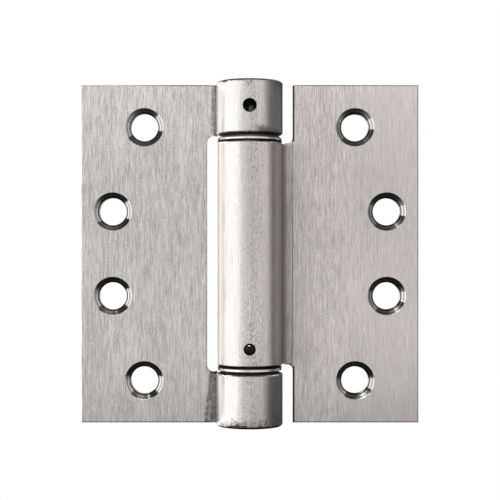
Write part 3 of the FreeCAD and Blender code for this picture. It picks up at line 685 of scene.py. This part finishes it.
# %% Turn the pin
def turned_mesh(name, profile, steps=64):
    """Spins a profile of (radius, place along -Y) points round the Y axis through the origin."""
    mesh = bpy.data.meshes.new(name)
    shape = bmesh.new()
    points = [shape.verts.new((across, -along, 0)) for across, along in profile]
    edges = [shape.edges.new(pair) for pair in zip(points, points[1:])]
    bmesh.ops.spin(shape, geom=points + edges, axis=(0, 1, 0), cent=(0, 0, 0), angle=2 * math.pi, steps=steps)
    bmesh.ops.remove_doubles(shape, verts=shape.verts, dist=1e-7)
    bmesh.ops.recalc_face_normals(shape, faces=shape.faces)
    for face in shape.faces:
        face.smooth = True
    shape.to_mesh(mesh)
    shape.free()
    return mesh


DOME_HEIGHT, DOME_STEPS, PIN_EDGE = 0.0006, 12, 0.00015
pin_low, pin_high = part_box("anchor_pin")
pin_radius = (pin_high.x - pin_low.x) / 2
pin_level = (pin_high.z + pin_low.z) / 2
crown, foot = -pin_low.y, -pin_high.y
dome_radius = (pin_radius**2 + DOME_HEIGHT**2) / (2 * DOME_HEIGHT)
lean = math.asin(pin_radius / dome_radius)
dome = []
for index in range(DOME_STEPS + 1):
    turn = lean * index / DOME_STEPS
    dome.append((dome_radius * math.sin(turn), crown - dome_radius * (1 - math.cos(turn))))
shank = [(pin_radius, crown - DOME_HEIGHT - PIN_EDGE), (pin_radius, foot + PIN_EDGE)]
profile = dome + shank + [(pin_radius - PIN_EDGE, foot), (0, foot)]
pin = bpy.data.objects.new("domed_pin", turned_mesh("domed_pin", profile))
pin.location = (0, 0, pin_level)
scene.collection.objects.link(pin)
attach(pin, "door")
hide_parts("anchor_pin")

gloss_black = Finish("gloss_black", Specular_IOR_Level=0.2)
dust = gloss_black.noise(0.25, 0.25, detail=4.0)
gloss_black.wire(
    Base_Color=gloss_black.mix(dust.rises(0.55, 0.85), (0.004, 0.004, 0.004), (0.03, 0.028, 0.026)),
    Roughness=dust * 0.08 + 0.06,
)
pin.data.materials.append(gloss_black.material)
print(f"pin of {2000 * pin_radius:.2f} mm with a dome of {1000 * dome_radius:.2f} mm radius")

# %% [markdown]
# ## Spring wire
# The torsion spring is ten turns of round wire, with a straight tang at each end in a slot. The CAD spring is made
# of short straight runs with six flat sides. A curve with a round bevel gives the smooth wire: a NURBS line through
# the helix, with the two tangs as its ends. It is then turned into a mesh, and lies inside the box of the CAD spring.

# %% Wind the spring
COIL_TURNS, POINTS_A_TURN = 10, 16
COIL_RADIUS, WIRE_RADIUS, TANG, TANG_BEND = 0.00505, 0.0012, 0.006, 0.0012
spring_low, spring_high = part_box("torsion_spring")
coil_foot, coil_top = spring_low.z + TANG, spring_high.z - TANG
route = [Vector((COIL_RADIUS, 0, spring_low.z)), Vector((COIL_RADIUS, 0, coil_foot - TANG_BEND))]
for index in range(COIL_TURNS * POINTS_A_TURN + 1):
    turn = 2 * math.pi * index / POINTS_A_TURN
    rise = coil_foot + (coil_top - coil_foot) * index / (COIL_TURNS * POINTS_A_TURN)
    route.append(Vector((COIL_RADIUS * math.cos(turn), COIL_RADIUS * math.sin(turn), rise)))
route += [Vector((COIL_RADIUS, 0, coil_top + TANG_BEND)), Vector((COIL_RADIUS, 0, spring_high.z))]

line = bpy.data.curves.new("spring_wire", "CURVE")
line.dimensions = "3D"
spline = line.splines.new("NURBS")
spline.points.add(len(route) - 1)
for point, place in zip(spline.points, route):
    point.co = (*place, 1)
spline.order_u = 3
spline.use_endpoint_u = True
spline.resolution_u = 2
line.bevel_depth = WIRE_RADIUS
line.bevel_resolution = 4
line.use_fill_caps = True
wound = bpy.data.objects.new("wound_line", line)
spring_mesh = bpy.data.meshes.new_from_object(wound)
spring_mesh.polygons.foreach_set("use_smooth", [True] * len(spring_mesh.polygons))
bpy.data.objects.remove(wound)
spring = bpy.data.objects.new("spring_wire", spring_mesh)
scene.collection.objects.link(spring)
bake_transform(spring)
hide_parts("torsion_spring")

oiled_steel = Finish("oiled_spring_steel", Metallic=1.0)
scale_marks = oiled_steel.noise(0.5, 0.5, detail=4.0)
oiled_steel.wire(
    Base_Color=oiled_steel.mix(scale_marks.rises(0.35, 0.7), (0.10, 0.09, 0.085), (0.32, 0.30, 0.28)),
    Roughness=scale_marks * 0.3 + 0.2,
)
oiled_steel.bump(scale_marks, 0.03, 0.3)
spring_mesh.materials.clear()
spring_mesh.materials.append(oiled_steel.material)
print("spring wire of", len(spring_mesh.polygons), "faces")
